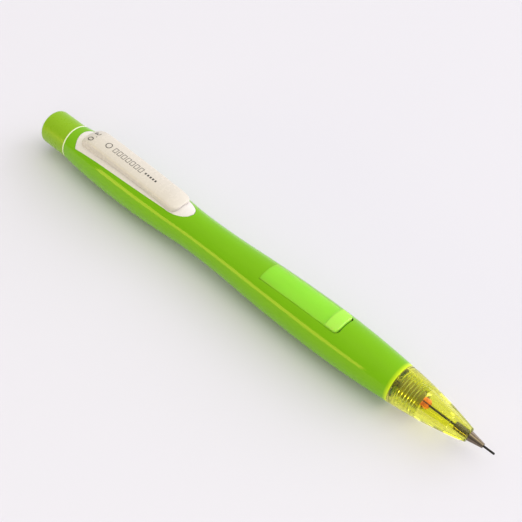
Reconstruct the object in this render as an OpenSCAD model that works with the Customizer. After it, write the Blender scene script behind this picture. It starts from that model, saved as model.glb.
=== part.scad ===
// Side-button clutch pencil for 0.5 mm lead, in millimetres.
// It lies along X with its point towards +X and its clip and button up (+Z).
// The origin is on the surface it lies on, midway between the cap end and the lead tip.
// Stations are measured from the cap end along the pencil's own axis.

/* [Barrel] */
// Largest radius of both bulges
bulge_r = 6.1; // [5.5:0.05:7]
// Radius at the waist
waist_r = 5.07; // [4.6:0.01:5.6]
// Station of the rear bulge
rear_bulge_s = 31; // [25:0.5:38]
// Station of the waist
waist_s = 58.3; // [50:0.1:66]
// Station of the front bulge
front_bulge_s = 97; // [90:0.5:104]
// Length of one step of the barrel's curve
step_s = 5; // [1:0.5:8]
// Bore radius
bore_r = 3.6; // [3.4:0.05:3.8]
// Station of the barrel's rear face
barrel_s0 = 9.9; // [9:0.1:12]
// Station of the barrel's front face
barrel_s1 = 120.3; // [115:0.1:125]

/* [Cap and eraser] */
// Outer radius of the cap
cap_r = 4.88; // [4.5:0.02:5.2]
// Length of the cap
cap_len = 9.5; // [7:0.1:14]
// Rounding of the cap's end edge
cap_round = 0.9; // [0.2:0.1:2]
// Radius of the white ring between the cap and the barrel
ring_r = 5.06; // [4.9:0.02:5.3]
// Radius of the eraser
eraser_r = 2.4; // [2:0.05:2.7]

/* [Clip] */
// Half-width of the clip plate at its rear
plate_half = 4.3; // [3.5:0.1:5]
// Thickness of the clip plate
plate_t = 0.7; // [0.5:0.05:1]
// Station of the clip arm's rear end
arm_s0 = 15.6; // [14:0.1:18]
// Station of the clip arm's front end
arm_s1 = 51; // [45:0.5:56]
// Half-width of the clip arm
arm_half = 3.5; // [2.5:0.1:4]
// Gap between the arm and the plate
arm_gap = 0.28; // [0.2:0.02:0.8]

/* [Button] */
// Station of the button's rear end
button_s0 = 80; // [76:0.5:86]
// Station of the button's front end
button_s1 = 103.6; // [98:0.1:106]
// Half-width of the button pad
button_half = 3.3; // [2.8:0.05:3.4]
// Height of the raised block at the button's front
block_rise = 0.55; // [0.3:0.05:1]
// Station of the button's pin
pin_s = 81.5; // [81:0.1:84]
// Height of the button's pin over the axis
pin_up = 3.5; // [3.2:0.1:3.8]

/* [Front end] */
// Radius of the nose cone at its base
cone_r = 4.9; // [4.5:0.05:5.2]
// Station of the nose cone's front end
cone_s1 = 139.2; // [134:0.1:144]
// Pitch of the nose cone's thread
pitch = 0.83; // [0.6:0.01:1.2]
// Station of the metal tip's front end
tip_s1 = 142.9; // [140:0.1:146]

/* [Mechanism] */
// Outer radius of the lead tube
tube_r = 2.2; // [2:0.05:2.4]
// Radius of the lead
lead_r = 0.25; // [0.15:0.05:0.45]
// Length of the lead
lead_len = 60; // [30:1:60]
// Lead showing in front of the tip
lead_out = 2.8; // [0:0.1:6]
// Turns of the return spring
spring_turns = 7; // [4:1:10]

/* [Hidden] */
// The rounding of small curves.
$fn = 64;
// The height of the pencil's axis, and the station that sits at X = 0.
axis_z = bulge_r;
total_len = tip_s1 + lead_out;
mid_s = total_len / 2;
// A cut runs this far past the face it goes through.
past = 1;
// The lead's ends.
lead_s1 = total_len;
lead_s0 = lead_s1 - lead_len;

// Puts a shape drawn along +Z on the pencil's axis, starting at a station.
module along(s) {
    translate([s - mid_s, 0, axis_z]) rotate([0, 90, 0]) children();
}

// A full turn of an outline given as [radius, station] points.
module turned(points) {
    along(0) rotate_extrude() polygon(points);
}

// A block seen from above, from a plan outline in [station, Y], between two heights over the axis.
module plan_block(low, high) {
    translate([-mid_s, 0, axis_z + low]) linear_extrude(height = high - low) children();
}

// A plan outline with a straight rear edge and both front corners rounded.
module round_front(s0, s1, half, r) {
    translate([s0, -half]) square([s1 - s0 - r, 2 * half]);
    translate([s0, -half + r]) square([s1 - s0, 2 * half - 2 * r]);
    for (side = [-1, 1])
        translate([s1 - r, side * (half - r)]) circle(r = r);
}

// Sagitta of an arc of radius big at a distance d from its crest.
function sag(big, d) = big - sqrt(big * big - d * d);

// The barrel's radius: convex bulges joined by a concave waist, with no kink where they meet.
rear_drop = bulge_r - waist_r;
rear_run = waist_s - rear_bulge_s;
front_run = front_bulge_s - waist_s;
rear_slope = 2 * rear_drop / rear_run;
front_slope = 2 * rear_drop / front_run;
// Share of each run that is convex.
rear_share = 0.7;
front_share = 0.62;
function barrel_r(s) =
    s < rear_bulge_s ? bulge_r - sag(225, rear_bulge_s - s) :
    s < rear_bulge_s + rear_share * rear_run
        ? bulge_r - (s - rear_bulge_s) * (s - rear_bulge_s) * rear_slope / (2 * rear_share * rear_run) :
    s < waist_s
        ? waist_r + (waist_s - s) * (waist_s - s) * rear_slope / (2 * (1 - rear_share) * rear_run) :
    s < front_bulge_s - front_share * front_run
        ? waist_r + (s - waist_s) * (s - waist_s) * front_slope / (2 * (1 - front_share) * front_run) :
    s < front_bulge_s
        ? bulge_r - (front_bulge_s - s) * (front_bulge_s - s) * front_slope / (2 * front_share * front_run) :
    bulge_r - sag(236, s - front_bulge_s);

// Stations from s0 to s1 in about equal steps.
function stations(s0, s1, step) =
    let (n = ceil((s1 - s0) / step)) [for (i = [0:n]) s0 + (s1 - s0) * i / n];

// The solid that the barrel's outside encloses, grown by d, between two of stations.
module barrel_body(s0, s1, d) {
    list = stations(s0, s1, step_s);
    turned(concat([[0, s0]], [for (s = list) [barrel_r(s) + d, s]], [[0, s1]]));
}

// Plan outline of the clip plate: bowed rear edge with sharp corners, narrowing sides, round front.
function plate_side(s) =
    s < 24 ? plate_half - 0.01 * (s - 14.3) :
    plate_half - 0.1 - 0.9 * pow((s - 24) / 24, 2);
plate_rear_s = 12.6;
plate_corner_s = 14.3;
plate_turn_s = 47.5;
plate_end_s = 54.5;
module plate_plan(grow) {
    sides = stations(17, 44.5, 3);
    last = len(sides) - 1;
    end_half = plate_side(plate_turn_s) + grow;
    bow = plate_corner_s - plate_rear_s;
    rear = [for (i = [-6:6]) [plate_rear_s - grow + bow * i * i / 36, (plate_half + grow) * i / 6]];
    far = [for (s = sides) [s, plate_side(s) + grow]];
    near = [for (i = [last:-1:0]) [sides[i], -plate_side(sides[i]) - grow]];
    nose = [for (a = [90:-10:-90])
        [plate_turn_s + (plate_end_s + grow - plate_turn_s) * cos(a), end_half * sin(a)]];
    polygon(concat(rear, far, nose, near));
}

module barrel() {
    color([0.46, 0.72, 0.10])
    difference() {
        barrel_body(barrel_s0, barrel_s1, 0);
        along(barrel_s0 - past) cylinder(r = bore_r, h = barrel_s1 - barrel_s0 + 2 * past);
        along(barrel_s0 - past) cylinder(r = 3.9, h = 24 - barrel_s0 + past);
        along(107.8) cylinder(r = 4.05, h = barrel_s1 - 107.8 + past);
        intersection() {
            plan_block(0, 9) plate_plan(0.02);
            plate_shell(0.02, 1);
        }
        plan_block(0, 9) translate([button_s0 - 0.1, -button_half - 0.1])
            square([20.3, 2 * button_half + 0.2]);
        plan_block(0, 9) round_front(button_s0 + 10, button_s1 + 0.4, button_half + 0.1, 1.3);
        pin_line(0.5, 4.25);
    }
}

// The layer under the barrel's skin that the clip plate fills.
module plate_shell(extra, outside) {
    list = stations(11, 56, step_s);
    turned(concat([for (s = list) [barrel_r(s) + outside, s]],
        [for (i = [len(list) - 1:-1:0]) [barrel_r(list[i]) - plate_t - extra, list[i]]]));
}

// A round bar across the pencil at the button's pin.
module pin_line(r, half) {
    translate([pin_s - mid_s, 0, axis_z + pin_up]) rotate([90, 0, 0])
        cylinder(r = r, h = 2 * half, center = true);
}

module rear_sleeve() {
    color([0.92, 0.92, 0.90])
    turned([[3, 4.5], [3.7, 4.5], [3.7, cap_len], [ring_r, cap_len], [ring_r, barrel_s0], [3.88, barrel_s0],
        [3.88, 23.9], [3, 23.9]]);
}

module cap() {
    color([0.50, 0.72, 0.14])
    difference() {
        along(0) rotate_extrude() {
            square([cap_r - cap_round, cap_len - 0.03]);
            translate([0, cap_round]) square([cap_r, cap_len - cap_round - 0.03]);
            translate([cap_r - cap_round, cap_round]) circle(r = cap_round);
        }
        along(1.6) cylinder(r = 3.73, h = cap_len);
    }
}

module eraser() {
    color([0.94, 0.94, 0.92])
    turned([[0, 2.2], [eraser_r - 0.3, 2.2], [eraser_r, 2.5], [eraser_r, 12], [0, 12]]);
}

module eraser_holder() {
    color([0.75, 0.75, 0.74])
    turned([[0, 12], [eraser_r, 12], [eraser_r, 5], [2.94, 5], [2.94, 13.2], [0, 13.2]]);
}

module clip_plate() {
    color([0.93, 0.92, 0.91])
    intersection() {
        plan_block(0, 9) plate_plan(0);
        plate_shell(0, 0);
    }
}

// Height of the clip arm's crown over the axis: it climbs over the rear hump, then falls slowly.
function arm_top(s) =
    s < 20 ? 8.2 - 1.3 * pow((20 - s) / 4.4, 2) :
    s < 46 ? 8.2 - 0.9 * pow((s - 20) / 26, 1.4) :
    7.3 - 1.0 * pow((s - 46) / 5, 2);
function arm_under(s) = barrel_r(s) + arm_gap * min(1, max(0, (s - 21) / 2)) + 0.02;

module clip_arm() {
    list = concat(stations(arm_s0, 46, 2), stations(46.6, arm_s1, 0.75));
    color([0.94, 0.93, 0.92])
    intersection() {
        plan_block(2, 9.5) {
            translate([arm_s0, -arm_half]) square([20, 2 * arm_half]);
            round_front(arm_s0 + 10, arm_s1, arm_half, 2.2);
        }
        turned(concat([for (s = list) [arm_top(s), s]],
            [for (i = [len(list) - 1:-1:0]) [arm_under(list[i]), list[i]]]));
    }
}

// Thin printed marks on the clip arm: the numeral 0.5 across its rear, then a ring, frames and bars along it.
mark_t = 0.04;
module mark_layer() {
    list = stations(16, 44, 1);
    turned(concat([for (s = list) [arm_top(s) + mark_t, s]],
        [for (i = [len(list) - 1:-1:0]) [arm_top(list[i]), list[i]]]));
}

// A nought and a five 1.2 wide and 1.9 tall, centred, with their tops towards -X.
module nought() {
    difference() {
        square([1.9, 1.3], center = true);
        square([1.38, 0.78], center = true);
    }
}

module five() {
    translate([-0.95, -0.6]) square([0.26, 1.2]);
    translate([-0.95, -0.6]) square([1, 0.26]);
    translate([-0.21, -0.6]) square([0.26, 1.2]);
    translate([-0.21, 0.34]) square([1.16, 0.26]);
    translate([0.69, -0.6]) square([0.26, 1.2]);
}

module mark_ring() {
    difference() {
        circle(r = 0.96);
        circle(r = 0.74);
    }
}

module mark_frame() {
    difference() {
        square([1.15, 1.6], center = true);
        square([0.85, 1.3], center = true);
    }
}

module clip_marks() {
    color([0.35, 0.32, 0.32])
    intersection() {
        mark_layer();
        plan_block(4, 9.5) {
            translate([18, -1.75]) nought();
            translate([18.9, -0.5]) square([0.28, 0.28], center = true);
            translate([18, 0.9]) five();
            translate([23.7, -0.4]) mark_ring();
            for (i = [0:6])
                translate([26.3 + 1.6 * i, -0.4]) mark_frame();
            for (i = [0:4])
                translate([37.65 + 0.9 * i, -0.4]) square([0.5, 0.6], center = true);
        }
    }
}

// How far the button's outside stands over the barrel at a station.
function button_rise(s) = s < 100.3 ? 0.05 : block_rise;

module side_button() {
    pad = stations(button_s0, 100.3, step_s);
    block = stations(100.3, button_s1, step_s);
    color([0.56, 0.85, 0.26])
    difference() {
        union() {
            intersection() {
                plan_block(4.75, 9) {
                    translate([button_s0, -button_half]) square([15, 2 * button_half]);
                    round_front(button_s0 + 10, button_s1, button_half, 1.2);
                }
                turned(concat([[0, button_s0]], [for (s = pad) [barrel_r(s) + 0.05, s]],
                    [for (s = block) [barrel_r(s) + block_rise, s]], [[0, button_s1]]));
            }
            plan_block(2.5, 4.75) translate([button_s0 + 0.3, -2.6]) square([2.6, 5.2]);
            plan_block(nose_up, 4.75) translate([nose_s - 1, -1.2]) square([1.5, 2.4]);
            translate([nose_s - mid_s, 0, axis_z + nose_up]) rotate([90, 0, 0])
                cylinder(r = 0.5, h = 2.4, center = true);
        }
        pin_line(0.53, 4);
    }
}

module button_pin() {
    color([0.75, 0.75, 0.77])
    pin_line(0.49, 4.2);
}

module tube_guide() {
    color([0.90, 0.90, 0.88])
    turned([[tube_r + 0.06, 24.5], [3.57, 24.5], [3.57, 28], [tube_r + 0.06, 28]]);
}

module lead_tube() {
    color([0.80, 0.86, 0.72])
    turned([[1.72, 20], [tube_r, 20], [tube_r, 101], [1.72, 101]]);
}

// The button's rounded nose rests on the collar's 45 degree cone.
nose_s = 98;
nose_up = 3.75;
cone_foot = nose_s + 0.5 * sqrt(2) + 0.03 - (nose_up - 2.3);
module ramp_collar() {
    color([0.20, 0.22, 0.22])
    turned([[tube_r + 0.01, cone_foot], [2.3, cone_foot], [3.5, cone_foot + 1.2], [3.5, cone_foot + 3.6],
        [tube_r + 0.01, cone_foot + 3.6]]);
}

module connector() {
    color([0.85, 0.86, 0.80])
    turned([[1.4, 98], [1.7, 98], [1.7, 101.02], [2.3, 101.02], [2.3, 111.5], [1.01, 111.5],
        [1.01, 107.5], [0.45, 107.5], [0.45, 103]]);
}

module chuck() {
    color([0.95, 0.42, 0.06])
    difference() {
        along(0) rotate_extrude() {
            polygon([[0.28, 107.5], [1, 107.5], [1, 122.9], [0.9, 123.5], [1.04, 126.45], [1.22, 126.6],
                [1.22, 128.2], [0.9, 128.5], [0.28, 128.5]]);
        }
        for (turn = [90, 210, 330])
            along(118) rotate([0, 0, turn]) translate([0, -0.12, 0]) cube([3, 0.24, 12]);
    }
}

module clutch_ring() {
    color([0.80, 0.62, 0.25])
    turned([[1.09, 124.4], [1.74, 124.4], [1.74, 126.4], [1.09, 126.4]]);
}

module mech_sleeve() {
    color([0.42, 0.36, 0.22])
    turned([[1.08, 121.6], [2.43, 121.6], [2.43, 127.2], [1.45, 127.2], [1.45, 126.95], [1.8, 126.95],
        [1.8, 122.4], [1.08, 122.4]]);
}

// A coiled wire: six-sided rings of points joined one after another along the helix.
module coil(s0, s1, mean, wire, turns) {
    per = 20;
    sides = 8;
    n = turns * per;
    rise = (s1 - s0 - 2 * wire) / n;
    points = [for (i = [0:n]) for (k = [0:sides - 1])
        let (a = 360 * i / per, b = 360 * k / sides, r = mean + wire * cos(b))
        [r * cos(a), r * sin(a), wire + rise * i + wire * sin(b)]];
    walls = [for (i = [0:n - 1]) for (k = [0:sides - 1])
        [i * sides + k, i * sides + (k + 1) % sides, (i + 1) * sides + (k + 1) % sides, (i + 1) * sides + k]];
    first = [for (k = [sides - 1:-1:0]) k];
    last = [for (k = [0:sides - 1]) n * sides + k];
    along(s0) polyhedron(points, concat([first], walls, [last]));
}

module return_spring() {
    color([0.70, 0.70, 0.72])
    coil(111.55, 121.55, 1.75, 0.2, spring_turns);
}

module front_bush() {
    ridges = 6;
    crest = 3.5;
    root = 3.15;
    foot = 121.3;
    color([0.74, 0.80, 0.36, 0.5])
    turned(concat([[2.45, 107.9], [4.03, 107.9], [4.03, barrel_s1 - 0.02], [root, barrel_s1 - 0.02]],
        [for (i = [0:ridges - 1]) each [[root, foot + i * pitch], [crest, foot + (i + 0.4) * pitch],
            [crest, foot + (i + 0.6) * pitch]]],
        [[root, foot + ridges * pitch], [root, 126.9], [2.45, 126.9]]));
}

// Outer radius of the nose cone, a slender ogive.
cone_s0 = barrel_s1 + 0.03;
function cone_out(s) =
    let (f = (s - cone_s0) / (cone_s1 - cone_s0)) cone_r - 1.05 * f - 2.13 * pow(f, 1.8);

module nose_cone() {
    list = stations(cone_s0, cone_s1, 1.4);
    color([0.82, 0.88, 0.22, 0.4])
    turned(concat([for (s = list) [cone_out(s), s]],
        [[1.05, cone_s1], [1.05, 134.4], [1.5, 134.4], [1.9, 127.5], [3.58, 127.5], [3.58, cone_s0]]));
}

module tip_sleeve() {
    color([0.66, 0.63, 0.60])
    turned([[0.75, 135.5], [1.04, 135.5], [1.04, cone_s1 + 0.02], [1.2, cone_s1 + 0.02], [1.15, cone_s1 + 0.4],
        [0.57, tip_s1], [lead_r + 0.05, tip_s1], [lead_r + 0.05, 138.6], [0.75, 138.2]]);
}

module lead_brake() {
    color([0.12, 0.12, 0.12])
    turned([[lead_r + 0.02, 136], [0.74, 136], [0.74, 138], [lead_r + 0.02, 138]]);
}

module lead() {
    color([0.10, 0.10, 0.11])
    along(lead_s0) cylinder(r = lead_r, h = lead_len);
}

module spare_leads() {
    color([0.12, 0.12, 0.13])
    for (turn = [-24, 0, 24])
        along(30) rotate([0, 0, turn]) translate([1.44, 0, 0]) cylinder(r = lead_r, h = lead_len);
}

barrel();
rear_sleeve();
cap();
eraser();
eraser_holder();
clip_plate();
clip_arm();
clip_marks();
side_button();
button_pin();
tube_guide();
lead_tube();
ramp_collar();
connector();
chuck();
clutch_ring();
mech_sleeve();
return_spring();
front_bush();
nose_cone();
tip_sleeve();
lead_brake();
lead();
spare_leads();
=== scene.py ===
import math

import bmesh
import bpy
from mathutils import Matrix, Vector


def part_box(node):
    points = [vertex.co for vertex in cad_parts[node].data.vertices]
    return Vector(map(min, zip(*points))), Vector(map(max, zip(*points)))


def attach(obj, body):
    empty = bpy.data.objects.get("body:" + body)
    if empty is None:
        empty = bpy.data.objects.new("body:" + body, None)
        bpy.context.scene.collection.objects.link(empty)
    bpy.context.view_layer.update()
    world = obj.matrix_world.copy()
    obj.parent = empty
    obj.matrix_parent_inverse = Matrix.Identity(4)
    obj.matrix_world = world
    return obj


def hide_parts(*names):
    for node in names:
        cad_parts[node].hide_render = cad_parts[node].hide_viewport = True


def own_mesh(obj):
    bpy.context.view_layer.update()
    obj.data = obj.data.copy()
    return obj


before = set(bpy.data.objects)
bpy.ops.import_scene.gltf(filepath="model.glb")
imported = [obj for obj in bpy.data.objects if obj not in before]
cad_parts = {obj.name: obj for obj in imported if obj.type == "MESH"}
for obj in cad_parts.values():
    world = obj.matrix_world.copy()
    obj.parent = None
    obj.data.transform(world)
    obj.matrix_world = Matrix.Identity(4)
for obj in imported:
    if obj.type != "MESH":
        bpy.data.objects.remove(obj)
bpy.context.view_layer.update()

# A clutch pencil lying along X with its point at +X. Shapes are worked out in mm: a station runs along the
# pencil from its cap end, y goes sideways, and a height is over its axis. at() turns them into the frame's
# metres. Main sizes come from the CAD model's boxes, and the rest agrees with part.scad.
MM = 0.001
TINY = 1e-6
CAP_LO, CAP_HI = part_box("cap")
X0 = CAP_LO.x
AXIS_Z = (CAP_LO.z + CAP_HI.z) / 2


def station(x):
    """Station of a place in the frame."""
    return (x - X0) / MM


def at(s, y, up):
    """The point in the frame at a station, a sideways place and a height."""
    return Vector((X0 + s * MM, y * MM, AXIS_Z + up * MM))


def span(cad_node):
    """First station, last station and half width of a CAD node."""
    low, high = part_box(cad_node)
    return station(low.x), station(high.x), high.y / MM


def steps(a, b, n):
    """n equal steps from a to b, with both ends."""
    return [a + (b - a) * i / n for i in range(n + 1)]


def circle(n):
    """n angles, equally spaced round a full turn."""
    return steps(0, 2 * math.pi, n)[:-1]


def unit(x):
    """A number held between 0 and 1."""
    return min(1.0, max(0.0, x))


def chord(r, y):
    """Height of a circle of radius r about the axis, at a sideways place."""
    return math.sqrt(max(r * r - y * y, 0))


def draw_in(depth, d):
    """How far a side has drawn in to a rounded end. d goes from 0 at the curve's start to 1 at the end."""
    return depth * (1 - math.sqrt(max(0.0, 1 - d * d)))


# ---------------------------------------------------------------- the barrel's profile

BARREL0, BARREL1, _ = span("barrel")
R_BULGE = (AXIS_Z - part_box("barrel")[0].z) / MM
WAIST_DEPTH = 1.03
REAR_S, WAIST_S, FRONT_S = 31.0, 58.3, 97.0
REAR_ARC, FRONT_ARC = 225, 236
# Shares of the way from each bulge to the waist at which the curve turns from bulging to hollow.
REAR_TURN, FRONT_TURN = 0.7, 0.62


def sag(big, d):
    """How far an arc of a big radius has dropped at a distance from its top."""
    return big - math.sqrt(big * big - d * d)


def to_waist(d, length, turn):
    """The radius at a distance from a bulge's top towards the waist, which is at the full length."""
    slope = 2 * WAIST_DEPTH / length
    if d < turn * length:
        return R_BULGE - d ** 2 * slope / (2 * turn * length)
    return R_BULGE - WAIST_DEPTH + (length - d) ** 2 * slope / (2 * (1 - turn) * length)


def barrel_r(s):
    """The barrel's radius: two bulges joined by a waist, with a long arc to each end."""
    if s < REAR_S:
        return R_BULGE - sag(REAR_ARC, REAR_S - s)
    if s < WAIST_S:
        return to_waist(s - REAR_S, WAIST_S - REAR_S, REAR_TURN)
    if s < FRONT_S:
        return to_waist(FRONT_S - s, FRONT_S - WAIST_S, FRONT_TURN)
    return R_BULGE - sag(FRONT_ARC, s - FRONT_S)


# ---------------------------------------------------------------- mesh tools

# The corners of a square, as shares of its half width.
CORNERS = [(-1, -1), (1, -1), (1, 1), (-1, 1)]
# Angles in degrees over which an edge is shaded sharp: on most pieces, and on the softer forms.
SHARP_ANGLE, SOFT_ANGLE = 35, 50
# Points closer than this, in metres, become one after a boolean.
WELD = 2e-7
# The most of an outline's edge that the rounding of one corner takes.
CORNER_SHARE = 0.45


def shade(mesh, angle):
    """Smooth shading, but sharp where two faces meet at more than the angle."""
    for p in mesh.polygons:
        p.use_smooth = True
    bm = bmesh.new()
    bm.from_mesh(mesh)
    for e in bm.edges:
        if len(e.link_faces) == 2:
            e.smooth = e.calc_face_angle(0) < math.radians(angle)
    bm.to_mesh(mesh)
    bm.free()


def make(name, bm, sharp=SHARP_ANGLE):
    """An object from a bmesh, with its faces turned outwards."""
    bmesh.ops.recalc_face_normals(bm, faces=bm.faces)
    mesh = bpy.data.meshes.new(name)
    bm.to_mesh(mesh)
    bm.free()
    obj = bpy.data.objects.new(name, mesh)
    bpy.context.scene.collection.objects.link(obj)
    shade(mesh, sharp)
    return obj


def lathe(name, outline, around=128, wave=None, sharp=SHARP_ANGLE):
    """A closed outline of (radius, station) points turned about the pencil's axis.
    wave(s, r, angle), if given, changes the radius round the turn."""
    bm = bmesh.new()
    rings = []
    for r, s in outline:
        if r < TINY:
            rings.append([bm.verts.new(at(s, 0, 0))])
            continue
        ring = []
        for a in circle(around):
            q = wave(s, r, a) if wave else r
            ring.append(bm.verts.new(at(s, q * math.sin(a), q * math.cos(a))))
        rings.append(ring)
    for p, q in zip(rings, rings[1:] + rings[:1]):
        if len(p) == 1 and len(q) == 1:
            continue
        for k in range(around):
            j = (k + 1) % around
            if len(p) == 1:
                bm.faces.new((p[0], q[j], q[k]))
            elif len(q) == 1:
                bm.faces.new((p[k], p[j], q[0]))
            else:
                bm.faces.new((p[k], p[j], q[j], q[k]))
    return make(name, bm, sharp)


def rounded(points, arc_steps=5):
    """An outline of (radius, station) points from (radius, station, rounding) corners."""
    out = []
    for i, (r, s, rounding) in enumerate(points):
        here = Vector((r, s))
        before, after = points[i - 1], points[(i + 1) % len(points)]
        u, v = Vector(before[:2]) - here, Vector(after[:2]) - here
        if rounding <= 0 or min(u.length, v.length) < TINY:
            out.append((r, s))
            continue
        d = min(rounding, u.length * CORNER_SHARE, v.length * CORNER_SHARE)
        p0, p1 = here + u.normalized() * d, here + v.normalized() * d
        for t in steps(0, 1, arc_steps):
            q = p0 * (1 - t) ** 2 + here * 2 * t * (1 - t) + p1 * t * t
            out.append((max(q.x, 0.0), q.y))
    return out


def loft(name, sections, sharp=SHARP_ANGLE):
    """Closed loops of points, all of one count, joined in turn and capped."""
    bm = bmesh.new()
    loops = [[bm.verts.new(p) for p in loop] for loop in sections]
    n = len(loops[0])
    for a, b in zip(loops, loops[1:]):
        for k in range(n):
            j = (k + 1) % n
            bm.faces.new((a[k], a[j], b[j], b[k]))
    bm.faces.new(loops[0][::-1])
    bm.faces.new(loops[-1])
    return make(name, bm, sharp)


def prism(name, outline, low, high):
    """A plan outline in (station, y) drawn out between two heights."""
    return loft(name, [[at(s, y, up) for s, y in outline] for up in (low, high)])


def block(name, s0, s1, half, low, high):
    """A box between two stations and two heights, as wide on both sides of the axis."""
    return prism(name, [(s0, -half), (s0, half), (s1, half), (s1, -half)], low, high)


def slab(bm, rows, loop=False):
    """A thin closed sheet from rows of (upper point, lower point) pairs. In a loop its last row joins the
    first one, and otherwise both are capped."""
    rows = [[[bm.verts.new(p) for p in pair] for pair in row] for row in rows]
    last = len(rows[0]) - 1
    for a, b in zip(rows, rows[1:] + rows[:1] if loop else rows[1:]):
        for k in range(last):
            bm.faces.new((a[k][0], a[k + 1][0], b[k + 1][0], b[k][0]))
            bm.faces.new((a[k][1], b[k][1], b[k + 1][1], a[k + 1][1]))
        for k in (0, last):
            bm.faces.new((a[k][0], b[k][0], b[k][1], a[k][1]))
    if not loop:
        for end in (rows[0], rows[-1]):
            for k in range(last):
                bm.faces.new((end[k][0], end[k + 1][0], end[k + 1][1], end[k][1]))


def cut(obj, tools, operation="DIFFERENCE", sharp=30):
    """Applies the boolean operation with each tool in turn, and removes the tools."""
    for tool in tools:
        modifier = obj.modifiers.new("cut", "BOOLEAN")
        modifier.operation, modifier.solver, modifier.object = operation, "EXACT", tool
    bpy.context.view_layer.update()
    graph = bpy.context.evaluated_depsgraph_get()
    mesh = bpy.data.meshes.new_from_object(obj.evaluated_get(graph))
    obj.modifiers.clear()
    obj.data = mesh
    for tool in tools:
        bpy.data.objects.remove(tool, do_unlink=True)
    bm = bmesh.new()
    bm.from_mesh(mesh)
    bmesh.ops.remove_doubles(bm, verts=bm.verts, dist=WELD)
    bm.to_mesh(mesh)
    bm.free()
    shade(mesh, sharp)
    return obj


# ---------------------------------------------------------------- material tools

# Sockets of a Mix node that mixes colours.
MIX_FACTOR, MIX_A, MIX_B, MIX_RESULT = 0, 6, 7, 2
# The part of a noise's values that a ramp spreads out.
NOISE_LOW, NOISE_HIGH = 0.35, 0.65


def feed(tree, n, inputs):
    """Sets each input of a node to a value, or links it to another node's output."""
    for key, value in inputs.items():
        if isinstance(value, bpy.types.NodeSocket):
            tree.links.new(value, n.inputs[key])
        else:
            n.inputs[key].default_value = value
    return n


def node(tree, kind, inputs):
    """A new shader node with its inputs fed."""
    return feed(tree, tree.nodes.new("ShaderNode" + kind), inputs)


def place(tree, kind="Object"):
    """A place in the object's own coordinates, which are the frame's."""
    return tree.nodes.new("ShaderNodeTexCoord").outputs[kind]


def noise(tree, scale, detail, stretch=(1, 1, 1)):
    """Noise over the piece, finer along each axis by its stretch."""
    where = node(tree, "Mapping", {"Vector": place(tree), "Scale": stretch})
    texture = {"Vector": where.outputs["Vector"], "Scale": scale, "Detail": detail}
    return node(tree, "TexNoise", texture).outputs["Fac"]


def ramp(tree, value, low, high, start=NOISE_LOW, end=NOISE_HIGH):
    """Takes a value from start to end to one from low to high."""
    limits = {"Value": value, "From Min": start, "From Max": end, "To Min": low, "To Max": high}
    return node(tree, "MapRange", limits).outputs["Result"]


def mix(tree, factor, a, b):
    """Mixes two colours. The first one may be a node's output."""
    n = tree.nodes.new("ShaderNodeMix")
    n.data_type = "RGBA"
    first = a if isinstance(a, bpy.types.NodeSocket) else (*a, 1)
    feed(tree, n, {MIX_FACTOR: factor, MIX_A: first, MIX_B: (*b, 1)})
    return n.outputs[MIX_RESULT]


def bump(tree, height, strength, distance):
    """The bent normal for a height, at a strength and a depth in metres."""
    relief = {"Height": height, "Strength": strength, "Distance": distance}
    return node(tree, "Bump", relief).outputs["Normal"]


def new_material(name):
    """A new material, its node tree and its shader."""
    m = bpy.data.materials.new(name)
    m.use_nodes = True
    return m, m.node_tree, m.node_tree.nodes["Principled BSDF"]


def moulded(name, base, deep, rough, grain=0.02, scatter=0.0, fixed=None):
    """Glossy moulded plastic: faint flow in its colour, slight waviness, small changes in gloss."""
    m, tree, shader = new_material(name)
    flow = noise(tree, scale=90, detail=2, stretch=(1, 3, 3))
    gloss = noise(tree, scale=900, detail=3)
    waves = noise(tree, scale=260, detail=2)
    feed(tree, shader, {
        "Base Color": mix(tree, ramp(tree, flow, 0, 1), base, deep),
        "Roughness": ramp(tree, gloss, rough * 0.85, rough * 1.2),
        "Normal": bump(tree, waves, strength=grain, distance=0.0001),
        "IOR": 1.5,
    })
    if scatter:
        feed(tree, shader, {
            "Subsurface Weight": scatter,
            "Subsurface Scale": 0.002,
            "Subsurface Radius": (0.5, 1.0, 0.3),
        })
    feed(tree, shader, fixed or {})
    return m


def clear(name, tint, rough, ior=1.49):
    """Clear tinted plastic with a faint change of tint along its length."""
    m, tree, shader = new_material(name)
    flow = noise(tree, scale=140, detail=2, stretch=(1, 2, 2))
    gloss = noise(tree, scale=700, detail=2)
    waves = noise(tree, scale=320, detail=2)
    pale = tuple(min(1.0, c * 1.06) for c in tint)
    feed(tree, shader, {
        "Base Color": mix(tree, ramp(tree, flow, 0, 1), tint, pale),
        "Roughness": ramp(tree, gloss, rough * 0.6, rough * 1.5),
        "Normal": bump(tree, waves, strength=0.015, distance=0.0001),
        "Transmission Weight": 1.0,
        "IOR": ior,
    })
    return m


def metal(name, base, deep, rough, brush=(1, 1, 1), grain=0.12):
    """Plated or turned metal with fine tool marks."""
    m, tree, shader = new_material(name)
    marks = noise(tree, scale=2500, detail=3, stretch=brush)
    feed(tree, shader, {
        "Base Color": mix(tree, ramp(tree, marks, 0, 1), base, deep),
        "Roughness": ramp(tree, marks, rough * 0.7, rough * 1.3),
        "Normal": bump(tree, marks, strength=grain, distance=0.00002),
        "Metallic": 1.0,
    })
    return m


def plain(name, base, deep, rough, grain=0.1, specular=0.5):
    """Matt plastic, rubber, graphite or ink: mottled colour, fine grain."""
    m, tree, shader = new_material(name)
    mottle = noise(tree, scale=1500, detail=4)
    feed(tree, shader, {
        "Base Color": mix(tree, ramp(tree, mottle, 0, 1), base, deep),
        "Roughness": ramp(tree, mottle, rough * 0.85, rough * 1.1),
        "Normal": bump(tree, mottle, strength=grain, distance=0.00003),
        "Specular IOR Level": specular,
    })
    return m


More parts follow.
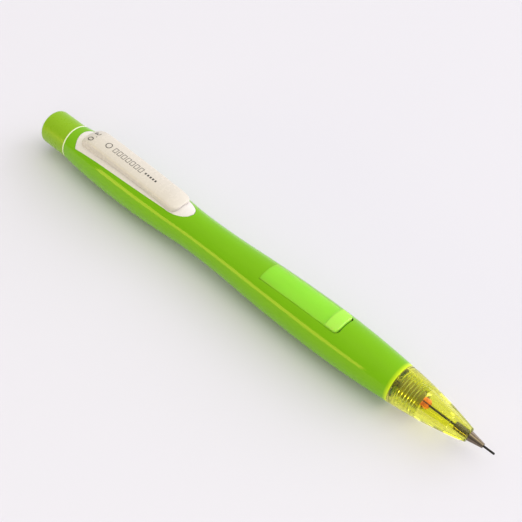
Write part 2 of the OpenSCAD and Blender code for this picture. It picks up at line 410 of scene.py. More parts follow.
def paint_light_along(material, s0, s1, colour):
    """Paints light or shade into a material's colour: turns it to another colour between two stations."""
    tree = material.node_tree
    shader = tree.nodes["Principled BSDF"]
    old = shader.inputs["Base Color"].links[0].from_socket
    split = node(tree, "SeparateXYZ", {"Vector": place(tree)})
    way = ramp(tree, split.outputs["X"], 0, 1, at(s0, 0, 0).x, at(s1, 0, 0).x)
    feed(tree, shader, {"Base Color": mix(tree, way, old, colour)})


# ---------------------------------------------------------------- materials

BRUSH_ROUND = (1, 0.05, 0.05)
GREEN = moulded(
    "barrel_green", (0.194, 0.500, 0.006), (0.188, 0.486, 0.006), rough=0.06, grain=0.01,
    fixed={"Specular IOR Level": 0.45, "Specular Tint": (1.0, 0.70, 0.35, 1)},
)
# Painted light: the barrel's colour turns lighter at its thin front end, standing in for light let in from
# the clear cone.
paint_light_along(GREEN, 119.3, 120.2, (0.640, 0.860, 0.020))
CAP_GREEN = moulded(
    "cap_green", (0.258, 0.495, 0.012), (0.243, 0.470, 0.011), rough=0.30, grain=0.015,
    fixed={"Specular Tint": (1.0, 0.75, 0.35, 1)},
)
BUTTON = moulded("button_green", (0.290, 0.730, 0.024), (0.272, 0.700, 0.020), rough=0.18, scatter=0.5)
# Painted light: the button's colour turns lighter over its raised block, standing in for the light that
# comes through the thinner plastic there.
paint_light_along(BUTTON, 99.6, 100.6, (0.420, 0.840, 0.080))
# The clip's arm and its plate are one white plastic in two copies. The plate's copy is painted lighter,
# painted light that makes up for the arm's shadow over the plate.
WHITE = moulded("clip_white", (0.715, 0.655, 0.625), (0.705, 0.645, 0.615), rough=0.25, grain=0.006)
PLATE_WHITE_LIT = moulded("plate_white_painted_light", (0.830, 0.780, 0.800), (0.820, 0.770, 0.790), rough=0.25, grain=0.006)
# Partly a painted highlight: the collar's pale yellowish white stands in for a bright edge line.
RING_PAINTED_HIGHLIGHT = moulded("ring_pale_painted_highlight", (0.880, 0.930, 0.690), (0.860, 0.910, 0.670), rough=0.2)
CONE = clear("cone_clear", (0.835, 0.850, 0.080), rough=0.005)
# A low index keeps the thread's rings clear. At the plastic's own, the gap to the cone breaks them up.
BUSH = clear("bush_clear", (0.980, 1.000, 0.480), rough=0.02, ior=1.25)
ORANGE = moulded("chuck_orange", (1.000, 0.200, 0.002), (0.950, 0.170, 0.002), rough=0.25)
# Painted shade: the chuck's colour turns dull and dark along its stem, which sits in shade inside the bush,
# and stays bright orange only at its head.
paint_light_along(ORANGE, 125, 123.5, (0.420, 0.360, 0.090))
# Painted shade: the tip's metal gets a dark brown colour, far darker than nickel, standing in for the dark
# surroundings that it reflects.
NICKEL = metal("tip_nickel_painted_dark", (0.200, 0.160, 0.122), (0.175, 0.140, 0.105), 0.06, BRUSH_ROUND, grain=0.03)
STEEL = metal("steel", (0.620, 0.620, 0.630), (0.540, 0.540, 0.550), 0.22)
BRASS = metal("brass", (0.720, 0.500, 0.180), (0.640, 0.440, 0.150), 0.25, BRUSH_ROUND)
BROWN = plain("sleeve_brown", (0.260, 0.225, 0.055), (0.210, 0.180, 0.042), 0.35)
GRAPHITE = plain("graphite", (0.007, 0.007, 0.008), (0.014, 0.014, 0.016), 0.45, grain=0.3, specular=0.2)
RUBBER = plain("black_rubber", (0.015, 0.015, 0.015), (0.022, 0.022, 0.022), 0.7)
ERASER = plain("eraser_white", (0.800, 0.800, 0.780), (0.740, 0.740, 0.710), 0.8, grain=0.25)
MILKY = moulded("milky_plastic", (0.620, 0.700, 0.500), (0.590, 0.670, 0.470), rough=0.35, scatter=0.3)
PLAIN_WHITE = moulded("plain_white", (0.760, 0.770, 0.760), (0.730, 0.740, 0.730), rough=0.4)
DARK = plain("collar_dark", (0.030, 0.034, 0.034), (0.042, 0.046, 0.046), 0.45)
INK = plain("print_grey", (0.045, 0.040, 0.038), (0.065, 0.058, 0.055), 0.5, grain=0.05)


def paint(obj, material):
    obj.data.materials.clear()
    obj.data.materials.append(material)


def dress(obj, material, body, cad_node):
    """Gives a piece its material, its body and the CAD node that it takes the place of."""
    paint(obj, material)
    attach(obj, body)
    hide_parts(cad_node)


# ---------------------------------------------------------------- barrel

BTN0, BTN1, BTN_HALF = span("side_button")
BTN_CORNER = 1.2
PLATE_HALF = span("clip_plate")[2]
PLATE_T = 0.7
# Stations of the plate: the middle of its bowed rear edge, its rear corners, where its sides start to draw
# in, where its round front starts, and its front end.
PLATE_REAR, PLATE_CORNER, PLATE_BEND, PLATE_TURN, PLATE_END = 12.6, 14.3, 24, 47.5, 54.5
PLATE_TAPER, PLATE_BEND_IN, PLATE_NARROWING, PLATE_NARROW_RUN = 0.01, 0.1, 0.9, 24
SIDE0, SIDE1 = 15.5, 46.5


def plate_side(s):
    """Half width of the clip plate: nearly straight, then drawing in."""
    if s < PLATE_BEND:
        return PLATE_HALF - PLATE_TAPER * (s - PLATE_CORNER)
    return PLATE_HALF - PLATE_BEND_IN - PLATE_NARROWING * ((s - PLATE_BEND) / PLATE_NARROW_RUN) ** 2


def plate_outline(gap):
    """The clip plate from above, with a gap round it: bowed rear edge, narrowing sides, round front."""
    half, bow, length = PLATE_HALF + gap, PLATE_CORNER - PLATE_REAR, PLATE_END + gap - PLATE_TURN
    nose = plate_side(PLATE_TURN) + gap
    sides = [(s, plate_side(s) + gap) for s in steps(SIDE0, SIDE1, 24)]
    rear = [(PLATE_REAR - gap + bow * v * v, half * v) for v in steps(-1, 1, 24)]
    turn = steps(math.pi / 2, -math.pi / 2, 32)
    front = [(PLATE_TURN + length * math.cos(a), nose * math.sin(a)) for a in turn]
    return rear + sides + front + [(s, -y) for s, y in reversed(sides)]


def window_outline(s0, s1, half, corner):
    """The button's window seen from above: square rear corners and round front ones."""
    out = [(s0, -half), (s0, half)]
    quarter = steps(math.pi / 2, 0, 8)
    for side, angles in ((1, quarter), (-1, [-a for a in reversed(quarter)])):
        for a in angles:
            out.append((s1 - corner + corner * math.cos(a), side * (half - corner) + corner * math.sin(a)))
    return out[::-1]


# Radii of the barrel's bore at the rear, along the middle and at the front, and the stations of its steps.
REAR_BORE, MID_BORE, FRONT_BORE = 3.9, 3.6, 4.05
REAR_STEP, FRONT_STEP = 24, 107.8
REAR_EDGE, FRONT_EDGE = 0.12, 0.1
FINE = 192
outside = [(barrel_r(s), s) for s in steps(BARREL0 + REAR_EDGE, BARREL1 - FRONT_EDGE, 220)]
barrel = lathe(
    "barrel_shell",
    [(REAR_BORE, BARREL0), (barrel_r(BARREL0) - REAR_EDGE, BARREL0)]
    + outside
    + [(barrel_r(BARREL1) - FRONT_EDGE, BARREL1), (FRONT_BORE, BARREL1), (FRONT_BORE, FRONT_STEP),
       (MID_BORE, FRONT_STEP), (MID_BORE, REAR_STEP), (REAR_BORE, REAR_STEP)],
    around=FINE,
)
# The plate's recess is its outline, cut down to a skin of the barrel as thick as the plate.
SKIN0, SKIN1, SKIN_PROUD = 11, 56, 2
CUTTER_TOP = 9
PLATE_GAP, WINDOW_GAP, WINDOW_FRONT_GAP = 0.04, 0.015, 0.3
skin = lathe(
    "skin_cutter",
    [(barrel_r(s) + SKIN_PROUD, s) for s in steps(SKIN0, SKIN1, 60)]
    + [(barrel_r(s) - PLATE_T, s) for s in steps(SKIN1, SKIN0, 60)],
    around=FINE,
)
recess = cut(prism("recess_cutter", plate_outline(PLATE_GAP), 0, CUTTER_TOP), [skin], "INTERSECT")
window_plan = window_outline(
    BTN0 - WINDOW_GAP, BTN1 + WINDOW_FRONT_GAP + WINDOW_GAP, BTN_HALF + WINDOW_GAP, BTN_CORNER
)
cut(barrel, [recess, prism("window_cutter", window_plan, 0, CUTTER_TOP)])
dress(barrel, GREEN, "housing", "barrel")

# ---------------------------------------------------------------- rear sleeve, cap and eraser

# The sleeve's collar fills the gap between cap and barrel, and shows as the thin pale ring. The collar is a
# real piece, and its pale yellowish colour is a painted highlight, standing in for the bright line along
# the rim's rounded edge.
SLEEVE0, _, RING_R = span("rear_sleeve")
SLEEVE_BORE, SLEEVE_NECK, SLEEVE_R = 3, 3.7, 3.88
COLLAR0, SLEEVE1 = 9.5, 23.9
SLEEVE_SOFT = 0.1
sleeve = lathe("rear_sleeve_ring", rounded([
    (SLEEVE_BORE, SLEEVE0, 0.15), (SLEEVE_NECK, SLEEVE0, 0.2),
    (SLEEVE_NECK, COLLAR0, 0), (RING_R, COLLAR0, SLEEVE_SOFT),
    (RING_R, BARREL0, SLEEVE_SOFT), (SLEEVE_R, BARREL0, 0),
    (SLEEVE_R, SLEEVE1, SLEEVE_SOFT), (SLEEVE_BORE, SLEEVE1, SLEEVE_SOFT),
]))
dress(sleeve, RING_PAINTED_HIGHLIGHT, "housing", "rear_sleeve")

CAP_R = (CAP_HI.z - CAP_LO.z) / 2 / MM
CAP_END = station(CAP_HI.x)
CAP_EDGE, CAP_BORE, CAP_FLOOR = 0.9, 3.73, 1.6
# The chamfers at the cap's mouth, and the one in the corner of its bore, along the axis and across it.
CAP_LIP, CAP_LIP_RUN = 0.12, 0.15
CORNER_RUN, CORNER_IN = 0.1, 0.13
# A ring of points in the middle of the cap's flat end, and one along its straight side.
CAP_MIDDLE, CAP_SIDE = 0.4 * CAP_R, 5
end_edge = [
    (CAP_R - CAP_EDGE + CAP_EDGE * math.sin(a), CAP_EDGE - CAP_EDGE * math.cos(a))
    for a in steps(0, math.pi / 2, 14)
]
cap = lathe(
    "cap_shell",
    [(0, 0), (CAP_MIDDLE, 0)]
    + end_edge
    + [(CAP_R, CAP_SIDE), (CAP_R, CAP_END - CAP_LIP_RUN), (CAP_R - CAP_LIP, CAP_END),
       (CAP_BORE + CAP_LIP, CAP_END), (CAP_BORE, CAP_END - CAP_LIP),
       (CAP_BORE, CAP_FLOOR + CORNER_RUN), (CAP_BORE - CORNER_IN, CAP_FLOOR), (0, CAP_FLOOR)],
)
dress(cap, CAP_GREEN, "cap", "cap")

ERASER_R = span("eraser")[2]
ERASER0, ERASER1 = 2.2, 12
# The eraser's worn round edge, as (how far in, how far forward) from its end.
WORN = ((0.5, 0), (0.25, 0.06), (0.08, 0.22), (0, 0.5))
eraser = lathe(
    "eraser_stick",
    [(0, ERASER0)] + [(ERASER_R - r, ERASER0 + s) for r, s in WORN] + [(ERASER_R, ERASER1), (0, ERASER1)],
)
dress(eraser, ERASER, "eraser", "eraser")
CUP_R, CUP0, CUP1 = 2.94, 5, 13.2
holder = lathe("eraser_cup", rounded([
    (0, ERASER1, 0), (ERASER_R, ERASER1, 0), (ERASER_R, CUP0, 0.1),
    (CUP_R, CUP0, 0.15), (CUP_R, CUP1, 0.3), (0, CUP1, 0),
]))
dress(holder, PLAIN_WHITE, "eraser", "eraser_holder")

# ---------------------------------------------------------------- clip plate

PLATE_ROWS, PLATE_ACROSS = 70, 24
LEAST_HALF = 0.02
BOW_FADE = 6
# In metres.
PLATE_BEVEL = 0.0001


def plate_rows():
    """The barrel's own surface inside the plate's outline, with a second one under it."""
    rows = []
    for i, s in enumerate(steps(PLATE_REAR, PLATE_END, PLATE_ROWS)):
        half = plate_side(min(max(s, PLATE_CORNER), PLATE_TURN))
        if s >= PLATE_TURN:
            half -= draw_in(half, (s - PLATE_TURN) / (PLATE_END - PLATE_TURN))
        half = max(half, LEAST_HALF)
        # The rear edge's bow fades out along the plate.
        bow = (1 - i / PLATE_ROWS) ** BOW_FADE * (PLATE_CORNER - PLATE_REAR)
        row = []
        for v in steps(-1, 1, PLATE_ACROSS):
            y, q = half * v, s + bow * v * v
            r = barrel_r(q)
            row.append([at(q, y, chord(radius, y)) for radius in (r, r - PLATE_T)])
        rows.append(row)
    return rows


bm = bmesh.new()
slab(bm, plate_rows())
plate = make("clip_plate_inlay", bm)
edge = plate.modifiers.new("edge", "BEVEL")
edge.width, edge.segments = PLATE_BEVEL, 2
edge.limit_method, edge.angle_limit = "ANGLE", math.radians(SOFT_ANGLE)
dress(plate, PLATE_WHITE_LIT, "housing", "clip_plate")

# ---------------------------------------------------------------- sections of the clip arm and the button


def crown(y, top, n):
    """Points of a crown about the axis, from -y to y."""
    return [(q, chord(top, q)) for q in steps(-y, y, n)]


def shoulder(y, soft, top, n):
    """The rounded edge beside a crown, from the crown's end at y to the upright side."""
    tilt = math.asin(min(1, y / top))
    up = chord(top, y)
    return [
        (y - soft * math.sin(tilt) + soft * math.sin(a), up - soft * math.cos(tilt) + soft * math.cos(a))
        for a in steps(tilt, math.pi / 2, n)[1:]
    ]


def section(s, top, side, under=()):
    """A cross-section from (y, height) points: its top, its +y side going down, and its underside."""
    mirror = [(-y, up) for y, up in reversed(side)]
    return [at(s, y, up) for y, up in [*top, *side, *under, *mirror]]


# ---------------------------------------------------------------- clip arm

ARM0, ARM1, ARM_HALF = span("clip_arm")
# The arm's crown is highest at CREST, falls slowly to BROW, and then faster to its front end.
CREST, CREST_UP, REAR_FALL, REAR_RUN = 20, 8.2, 1.3, 4.4
BROW, SLOW_FALL, SLOW_POWER, FAST_FALL, FAST_RUN = 46, 0.9, 1.4, 1.0, 5
# From its root on, the arm stands off the plate by a small gap.
ROOT_END, LIFT_RUN, ARM_GAP, ROOT_GAP = 21, 2, 0.28, 0.03
ARM_NOSE, ARM_REAR_RUN, ARM_REAR_DEPTH = 2.2, 0.8, 0.5
# The rounding of its upper edges, at most this much, and these shares of its half width and of its height.
ARM_SOFT, ARM_SOFT_WIDE, ARM_SOFT_HIGH = 0.75, 0.45, 0.6
# The small chamfer along the foot of its sides, at most this share of a side.
ARM_CHAMFER, CHAMFER_SHARE = 0.1, 0.3
# Its body's sections run between these distances from its ends, with a finer run at its round front.
BODY_REAR, BODY_FRONT, NOSE_REAR, NOSE_FRONT = 0.4, 2.4, 2.2, 0.35
# The rounding of the arm's ends, as (distance from the end, shrinking of the section).
ARM_REAR_SHRINK = ((0, 0.25), (0.02, 0.18), (0.08, 0.08), (0.2, 0.02))
ARM_FRONT_SHRINK = ((0.2, 0.03), (0.08, 0.09), (0.02, 0.18), (0, 0.25))


def arm_top(s):
    """Height of the clip arm's crown."""
    if s < CREST:
        return CREST_UP - REAR_FALL * ((CREST - s) / REAR_RUN) ** 2
    if s < BROW:
        return CREST_UP - SLOW_FALL * ((s - CREST) / (BROW - CREST)) ** SLOW_POWER
    return CREST_UP - SLOW_FALL - FAST_FALL * ((s - BROW) / FAST_RUN) ** 2


def arm_under(s):
    """Radius of the clip arm's underside."""
    return barrel_r(s) + ARM_GAP * unit((s - ROOT_END) / LIFT_RUN) + ROOT_GAP


def arm_half(s):
    """Half width of the clip arm: a round front end and slightly rounded rear corners."""
    if s > ARM1 - ARM_NOSE:
        return ARM_HALF - draw_in(ARM_NOSE, (s - (ARM1 - ARM_NOSE)) / ARM_NOSE)
    if s < ARM0 + ARM_REAR_RUN:
        return ARM_HALF - draw_in(ARM_REAR_DEPTH, (ARM0 + ARM_REAR_RUN - s) / ARM_REAR_RUN)
    return ARM_HALF


def arm_section(s, shrink=0.0):
    """Crowned top, rounded upper edges, straight sides, hollow underside."""
    half = arm_half(s) - shrink
    top, low = arm_top(s) - shrink, arm_under(s) + shrink
    soft = min(ARM_SOFT, half * ARM_SOFT_WIDE, (top - low) * ARM_SOFT_HIGH)
    side = shoulder(half - soft, soft, top, 6)
    y, up = side[-1]
    foot = chord(low, y)
    inner = y - ARM_CHAMFER
    side.append((y, foot + (up - foot) / 2))
    side.append((y, foot + min(ARM_CHAMFER, (up - foot) * CHAMFER_SHARE)))
    side.append((inner, chord(low, inner)))
    under = [(q, chord(low, q)) for q in steps(inner, -inner, 12)[1:-1]]
    return section(s, crown(half - soft, top, 24), side, under)


arm = loft(
    "clip_arm_body",
    [arm_section(ARM0 + d, shrink) for d, shrink in ARM_REAR_SHRINK]
    + [arm_section(s) for s in steps(ARM0 + BODY_REAR, ARM1 - BODY_FRONT, 90)]
    + [arm_section(s) for s in steps(ARM1 - NOSE_REAR, ARM1 - NOSE_FRONT, 16)]
    + [arm_section(ARM1 - d, shrink) for d, shrink in ARM_FRONT_SHRINK],
    sharp=SOFT_ANGLE,
)
dress(arm, WHITE, "clip", "clip_arm")

# ---------------------------------------------------------------- printed marks

PRINT_PROUD, PRINT_DEEP, PRINT_ACROSS = 0.012, 0.03, 3
STROKE = 0.26
MARK_Y = -0.4


def ribbons(name, strips):
    """Printed marks as thin closed ribbons let into the clip arm's crown. A strip is a list of cross-lines,
    each a pair of (station, y) points, and says whether its ends join."""
    bm = bmesh.new()
    for lines, loop in strips:
        rows = []
        for (s0, y0), (s1, y1) in lines:
            row = []
            for t in steps(0, 1, PRINT_ACROSS):
                s, y = s0 + (s1 - s0) * t, y0 + (y1 - y0) * t
                row.append([at(s, y, chord(arm_top(s) + rise, y)) for rise in (PRINT_PROUD, -PRINT_DEEP)])
            rows.append(row)
        slab(bm, rows, loop)
    return make(name, bm)


def arc_lines(s, y, rs, ry, width, angles):
    """Cross-lines of a curved stroke with a centre and radii along s and y."""
    sides = [(rs + width / 2, ry + width / 2), (rs - width / 2, ry - width / 2)]
    return [[(s + u * math.cos(a), y + v * math.sin(a)) for u, v in sides] for a in angles]


def bar_strip(s, y, ds, dy):
    """A filled rectangle from its corner."""
    return [((q, y), (q, y + dy)) for q in steps(s, s + ds, 2)], False


def frame_strip(s, y, ds, dy, width):
    """A small open rectangle about its centre."""
    lines = []
    halves = ((ds / 2, dy / 2), (ds / 2 - width, dy / 2 - width))
    for (u0, v0), (u1, v1) in zip(CORNERS, CORNERS[1:] + CORNERS[:1]):
        for t in steps(0, 1, 3)[:-1]:
            u, v = u0 + (u1 - u0) * t, v0 + (v1 - v0) * t
            lines.append([(s + u * a, y + v * b) for a, b in halves])
    return lines, True


# The lead size, 0.5: the nought, the point, and the five's stem, flag and bowl.
bowl = steps(math.radians(150), math.radians(400), 16)
marks = [
    (arc_lines(18.0, -1.75, rs=0.82, ry=0.52, width=STROKE, angles=circle(28)), True),
    bar_strip(18.75, -0.65, ds=0.28, dy=0.28),
    bar_strip(17.05, 0.3, ds=STROKE, dy=1.2),
    bar_strip(17.1, 0.3, ds=0.95, dy=STROKE),
    (arc_lines(18.3, 0.85, rs=0.55, ry=0.52, width=STROKE, angles=bowl), False),
]
# A plain ring, seven open rectangles and five small bars stand in for the rest of the printing.
marks += [(arc_lines(23.7, MARK_Y, rs=0.85, ry=0.85, width=0.22, angles=circle(32)), True)]
marks += [frame_strip(26.3 + 1.6 * i, MARK_Y, ds=1.15, dy=1.6, width=0.15) for i in range(7)]
marks += [bar_strip(37.4 + 0.9 * i, -0.7, ds=0.5, dy=0.6) for i in range(5)]
dress(ribbons("clip_print", marks), INK, "clip", "clip_marks")

# ---------------------------------------------------------------- side button

BLOCK0, BLOCK_RAMP0, BLOCK_RAMP1 = 100.3, 100.05, 100.35
PAD_RISE, BLOCK_RISE = 0.05, 0.5
PAD_SOFT, BLOCK_SOFT, SOFT_CHANGE = 0.12, 0.3, 100.2
BTN_UNDER = 4.75
# The rounding of the button's ends, as (distance from the end, shrinking of the section).
BTN_REAR_SHRINK = ((0, 0.06), (0.06, 0))
BTN_FRONT_SHRINK = ((0.16, 0.02), (0.05, 0.08), (0, 0.18))
# How far from its ends and from the block's edge the evenly spaced sections start.
BTN_END, BLOCK_MARGIN, RAMP_MARGIN = 0.3, 0.3, 0.06


def button_rise(s):
    """How far the pad, then the block at its front, stands over the barrel."""
    ramp_share = unit((s - BLOCK_RAMP0) / (BLOCK_RAMP1 - BLOCK_RAMP0))
    return PAD_RISE + BLOCK_RISE * (0.5 - 0.5 * math.cos(math.pi * ramp_share))


def button_section(s, shrink=0.0):
    """Crowned top, small rounded edges, upright sides, flat underside."""
    half = BTN_HALF - shrink
    if s > BTN1 - BTN_CORNER:
        half -= draw_in(BTN_CORNER, (s - (BTN1 - BTN_CORNER)) / BTN_CORNER)
    top = barrel_r(s) + button_rise(s) - shrink
    soft = PAD_SOFT if s < SOFT_CHANGE else BLOCK_SOFT
    side = shoulder(half - soft, soft, top, 5)
    side.append((side[-1][0], BTN_UNDER + shrink))
    return section(s, crown(half - soft, top, 20), side)


button_sections = [button_section(BTN0 + d, shrink) for d, shrink in BTN_REAR_SHRINK]
for s0, s1, n in (
    (BTN0 + BTN_END, BLOCK0 - BLOCK_MARGIN, 46),
    (BLOCK_RAMP0, BLOCK0 + RAMP_MARGIN, 8),
    (BLOCK0 + BLOCK_MARGIN, BTN1 - BTN_END, 18),
):
    button_sections += [button_section(s) for s in steps(s0, s1, n)]
button_sections += [button_section(BTN1 - d, shrink) for d, shrink in BTN_FRONT_SHRINK]
button = loft("button_pad", button_sections, sharp=SOFT_ANGLE)
# Under the pad, the lug turns on the cross pin and the nose pushes the ramp collar.
lug = block("button_lug", s0=80.3, s1=82.9, half=2.6, low=2.5, high=4.9)
nose = block("button_nose", s0=97, s1=98.5, half=1.2, low=3.3, high=4.9)
cut(button, [lug, nose], "UNION", sharp=40)
dress(button, BUTTON, "button", "side_button")

PIN_LO, PIN_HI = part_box("button_pin")
PIN_S, PIN_R = station((PIN_LO.x + PIN_HI.x) / 2), (PIN_HI.x - PIN_LO.x) / 2 / MM
PIN_UP = ((PIN_LO.z + PIN_HI.z) / 2 - AXIS_Z) / MM
PIN_HALF, PIN_EDGE = 3.95, 0.1
pin_sections = []
for y, r in (
    (-PIN_HALF, PIN_R - PIN_EDGE),
    (-PIN_HALF + PIN_EDGE, PIN_R),
    (PIN_HALF - PIN_EDGE, PIN_R),
    (PIN_HALF, PIN_R - PIN_EDGE),
):
    pin_sections.append([at(PIN_S + r * math.cos(a), y, PIN_UP + r * math.sin(a)) for a in circle(32)])
dress(loft("button_cross_pin", pin_sections), STEEL, "housing", "button_pin")

# ---------------------------------------------------------------- screw thread, front bush and nose cone

PITCH = 0.83
THREAD0, THREAD1 = 121.3, 126.28
THREAD_ROOT, CREST_HEIGHT = 3.15, 0.34
# How steeply a crest's sides rise, and how much of them is cut away at the root.
CREST_SLOPE, CREST_CUT = 2.2, 0.5
CONE_BORE, GROOVE_DEPTH = 3.7, 0.22
# The thread runs out over a short way, which ends a little past its nominal ends.
RUN_OUT, PAST_END, ROWS_PAST_END = 0.4, 0.2, 0.3
thread_rows = steps(THREAD0 - ROWS_PAST_END, THREAD1 + ROWS_PAST_END, 96)


def thread_turn(s, angle):
    """Turns of the right-handed thread at a place."""
    return (s - THREAD0) / PITCH - angle / (2 * math.pi)


def thread_fade(s):
    """1 along the thread, falling to 0 at both ends."""
    return unit((s - THREAD0 + PAST_END) / RUN_OUT) * unit((THREAD1 + PAST_END - s) / RUN_OUT)


def crest(s, r, angle):
    """The bush's radius with the crests of its thread on the root."""
    if abs(r - THREAD_ROOT) > TINY:
        return r
    off_crest = abs(thread_turn(s, angle) % 1.0 - 0.5) * 2
    return r + CREST_HEIGHT * unit(CREST_SLOPE * (1 - off_crest) - CREST_CUT) * thread_fade(s)


def groove(s, r, angle):
    """The cone's radius with the rounded thread in its bore, between the bush's crests."""
    if abs(r - CONE_BORE) > TINY:
        return r
    wave = 0.5 + 0.5 * math.cos(2 * math.pi * thread_turn(s, angle))
    return r - GROOVE_DEPTH * wave * thread_fade(s)


BUSH0, BUSH1, _ = span("front_bush")
BUSH_BORE, BUSH_PLUG, BUSH_LIP, BUSH_EDGE = 2.45, 4.03, 3.95, 0.02
BUSH_CHAMFER_RUN, BUSH_CHAMFER = 0.12, 0.1
bush = lathe(
    "front_bush_thread",
    [(BUSH_BORE, BUSH0), (BUSH_PLUG, BUSH0), (BUSH_PLUG, BARREL1 - FRONT_EDGE),
     (BUSH_LIP, BARREL1 - BUSH_EDGE), (THREAD_ROOT, BARREL1 - BUSH_EDGE)]
    + [(THREAD_ROOT, s) for s in thread_rows]
    + [(THREAD_ROOT, BUSH1 - BUSH_CHAMFER_RUN), (THREAD_ROOT - BUSH_CHAMFER, BUSH1), (BUSH_BORE, BUSH1)],
    around=96,
    wave=crest,
    sharp=SOFT_ANGLE,
)
dress(bush, BUSH, "housing", "front_bush")
# Clear plastic lets light through, but its shadow would come out as dark as a solid one's.
bush.visible_shadow = False

CONE0, CONE1, CONE_R = span("nose_cone")
CONE_STRAIGHT, CONE_CURVED, CONE_POWER = 1.05, 2.13, 1.8
# Inside, a seat for the metal tip, a slightly flaring room for the chuck, and the threaded bore.
SEAT_R, SEAT0, ROOM_R, ROOM_FLARE, ROOM1, ROOM0 = 1.05, 134.4, 1.5, 0.4, 134.3, 127.5
ROOM_ROW0, ROOM_ROW1 = 127.6, 133
CONE_CHAMFER, CONE_EDGE = 0.12, 0.1


def cone_out(s):
    """The nose cone's outer radius."""
    f = (s - CONE0) / (CONE1 - CONE0)
    return CONE_R - CONE_STRAIGHT * f - CONE_CURVED * f ** CONE_POWER


room = [(ROOM_R + ROOM_FLARE * (ROOM1 - s) / (ROOM1 - ROOM0), s) for s in steps(ROOM_ROW1, ROOM_ROW0, 6)]
cone = lathe(
    "nose_cone_clear",
    [(CONE_R - CONE_EDGE, CONE0)]
    + [(cone_out(s), s) for s in steps(CONE0 + CONE_EDGE, CONE1 - CONE_CHAMFER, 70)]
    + [(cone_out(CONE1) - CONE_CHAMFER, CONE1), (SEAT_R, CONE1), (SEAT_R, SEAT0),
       (ROOM_R - CONE_CHAMFER, SEAT0), (ROOM_R, ROOM1)]
    + room
    + [(ROOM_R + ROOM_FLARE, ROOM0), (CONE_BORE, ROOM0)]
    + [(CONE_BORE, s) for s in reversed(thread_rows)]
    + [(CONE_BORE, CONE0)],
    wave=groove,
    sharp=SOFT_ANGLE,
)
dress(cone, CONE, "nose", "nose_cone")
cone.visible_shadow = False

# ---------------------------------------------------------------- metal tip, lead and spring

LEAD0, LEAD1, LEAD_R = span("lead")
TIP1 = span("tip_sleeve")[1]
# The tip's stem in the cone, its bore for the brake, its shoulder outside the cone, and its nozzle.
STEM_R, STEM0, BRAKE_BORE, SHOULDER_R, NOZZLE_R = 1.04, 135.5, 0.75, 1.2, 0.57
SHOULDER0 = CONE1 + 0.02
# Where the brake's bore ends, where the lead's own bore begins, and that one's radius.
BRAKE_END, GUIDE0, GUIDE_R = 138.2, 138.6, LEAD_R + 0.04
tip = lathe(
    "metal_tip",
    rounded([
        (BRAKE_BORE, STEM0, 0.05), (STEM_R, STEM0, 0.1), (STEM_R, SHOULDER0, 0),
        (SHOULDER_R, SHOULDER0, 0.06), (SHOULDER_R - 0.05, CONE1 + 0.4, 0.2),
        (NOZZLE_R, TIP1, 0.08), (GUIDE_R, TIP1, 0.05), (GUIDE_R, GUIDE0, 0), (BRAKE_BORE, BRAKE_END, 0),
    ]),
    around=96,
)
dress(tip, NICKEL, "tip", "tip_sleeve")

# The lead's worn end, as (share of its radius, distance from its end).
LEAD_WORN = ((1, 0.12), (0.86, 0.03), (0.6, 0))
lead = lathe(
    "lead_stick",
    [(0, LEAD0), (LEAD_R, LEAD0)]
    + [(LEAD_R, s) for s in steps(LEAD0 + 1, LEAD1 - LEAD_WORN[0][1], 40)]
    + [(LEAD_R * share, LEAD1 - d) for share, d in LEAD_WORN[1:]]
    + [(0, LEAD1)],
    around=32,
)
dress(lead, GRAPHITE, "lead", "lead")


def coil(name, s0, s1, mean, wire, turns, sides=10, per_turn=36):
    """A coil spring between two stations, from the radii of its coil and its wire."""
    n = turns * per_turn
    sections = []
    for i in range(n + 1):
        a = 2 * math.pi * i / per_turn
        s = s0 + wire + (s1 - s0 - 2 * wire) * i / n
        loop = []
        for b in circle(sides):
            r = mean + wire * math.cos(b)
            loop.append(at(s + wire * math.sin(b), r * math.sin(a), r * math.cos(a)))
        sections.append(loop)
    return loft(name, sections)


SPRING0, SPRING1, _ = span("return_spring")
spring = coil("return_spring_coil", SPRING0, SPRING1, mean=1.75, wire=0.2, turns=7)
dress(spring, STEEL, "housing", "return_spring")
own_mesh(spring)

# ---------------------------------------------------------------- inner pieces that keep their CAD shape

carried = {
    "tube_guide": PLAIN_WHITE, "lead_tube": MILKY, "ramp_collar": DARK, "connector": MILKY, "chuck": ORANGE,
    "clutch_ring": BRASS, "mech_sleeve": BROWN, "lead_brake": RUBBER, "spare_leads": GRAPHITE,
}
for name, material in carried.items():
    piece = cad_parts[name]
    paint(piece, material)
    shade(piece.data, SHARP_ANGLE)

# ---------------------------------------------------------------- floor, in metres

FLOOR_HALF, FLOOR_DROP = 30, 0.0002
bm = bmesh.new()
bm.faces.new([bm.verts.new((x * FLOOR_HALF, y * FLOOR_HALF, 0)) for x, y in CORNERS])
floor = make("floor", bm)
floor.location.z = -FLOOR_DROP
pale, tree, shader = new_material("floor_pale")
clouds = ramp(tree, noise(tree, scale=3, detail=2), 0, 1)
feed(tree, shader, {
    "Base Color": mix(tree, clouds, (0.760, 0.740, 0.865), (0.770, 0.750, 0.875)),
    "Roughness": 0.7,
    "Specular IOR Level": 0.2,
})
floor.data.materials.append(pale)

# ---------------------------------------------------------------- room and lights

world = bpy.data.worlds.new("world")
bpy.context.scene.world = world
world.use_nodes = True
sky = world.node_tree
ROOM_COLOUR = (1.0, 1.0, 0.93, 1)
LOW_IN_FRONT = (0, -0.9, -0.6)
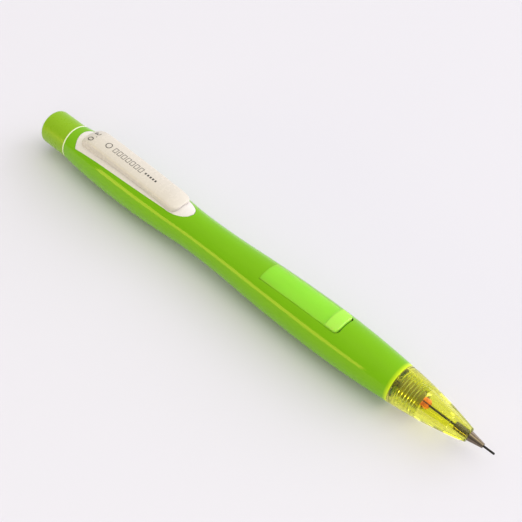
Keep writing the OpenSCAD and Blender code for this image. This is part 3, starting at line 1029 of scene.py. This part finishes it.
# The room is brighter on the side that the pencil points to, and dim low down in front of it.
way = place(sky, "Generated")
split = node(sky, "SeparateXYZ", {"Vector": way})
lean = sky.nodes.new("ShaderNodeVectorMath")
lean.operation = "DOT_PRODUCT"
feed(sky, lean, {0: way, 1: LOW_IN_FRONT})
level = sky.nodes.new("ShaderNodeMath")
level.operation = "MULTIPLY"
feed(sky, level, {
    0: ramp(sky, split.outputs["X"], low=0.66, high=1.14, start=-0.6, end=0.6),
    1: ramp(sky, lean.outputs["Value"], low=1.0, high=0.42, start=-0.35, end=0.45),
})
feed(sky, sky.nodes["Background"], {"Color": ROOM_COLOUR, "Strength": level.outputs[0]})


def area(name, where, width, height, power, colour):
    """A rectangular light that looks at the frame's origin, in metres and watts."""
    light = bpy.data.lights.new(name, "AREA")
    light.shape, light.size, light.size_y = "RECTANGLE", width, height
    light.energy, light.color = power, colour
    obj = bpy.data.objects.new(name, light)
    obj.location = where
    obj.rotation_mode = "QUATERNION"
    obj.rotation_quaternion = (-Vector(where)).to_track_quat("-Z", "Y")
    bpy.context.scene.collection.objects.link(obj)


area("key", (0.69, 2.29, 1.03), width=1.6, height=1.6, power=15.5, colour=(0.92, 0.91, 1.0))
area("side", (1.55, 1.40, 1.55), width=1.5, height=1.5, power=14, colour=(1.0, 0.99, 1.0))
area("top", (0.86, 0.12, 2.45), width=1.5, height=1.5, power=10.5, colour=(1.0, 0.97, 0.6))
# A low strip of light that gives the barrel its long yellow reflection.
area("line", (-0.75, -1.60, 0.22), width=1.0, height=0.44, power=7.0, colour=(1.0, 0.84, 0.30))
area("fill", (1.3, -1.4, 1.1), width=1.2, height=1.2, power=4.5, colour=(1.0, 0.96, 0.65))

# ---------------------------------------------------------------- camera, in metres

# It stands past the point, in front of the pencil and over it, and looks back at its middle.
EYE_X, AWAY, LIFT = 0.1800, 0.2174, math.radians(55)
ALONG_VIEW, FALL, TIP_UP = math.radians(64.2), math.radians(-36.75), math.radians(0.87)
SENSOR, LENS, CLIP_START, CLIP_END = 36, 69.0, 0.01, 20

camera = bpy.data.cameras.new("camera")
camera.sensor_width, camera.lens, camera.clip_start, camera.clip_end = SENSOR, LENS, CLIP_START, CLIP_END
cam = bpy.data.objects.new("camera", camera)
bpy.context.scene.collection.objects.link(cam)
eye = Vector((X0 + EYE_X, -AWAY * math.cos(LIFT), AXIS_Z + AWAY * math.sin(LIFT)))
# The pencil's axis and the way out from it to the eye give the way back to the camera and the axis as seen.
along = Vector((1, 0, 0))
out = Vector((0, -math.cos(LIFT), math.sin(LIFT)))
back = along * math.cos(ALONG_VIEW) + out * math.sin(ALONG_VIEW)
axis_in_view = along * math.sin(ALONG_VIEW) - out * math.cos(ALONG_VIEW)
across = back.cross(axis_in_view)
# A small tip upwards sets the axis under the picture's middle, and in the picture it falls to the right.
tipped = back * math.cos(TIP_UP) - across * math.sin(TIP_UP)
tipped_across = across * math.cos(TIP_UP) + back * math.sin(TIP_UP)
right = axis_in_view * math.cos(FALL) - tipped_across * math.sin(FALL)
turned = Matrix((right, tipped.cross(right), tipped)).transposed()
cam.matrix_world = Matrix.Translation(eye) @ turned.to_4x4()

scene = bpy.context.scene
scene.camera = cam
scene.view_settings.view_transform = "Standard"
# Light passes many walls of the clear cone and bush, and goes black in them with fewer bounces.
scene.cycles.max_bounces = 24
scene.cycles.transmission_bounces = 24
scene.cycles.glossy_bounces = 16
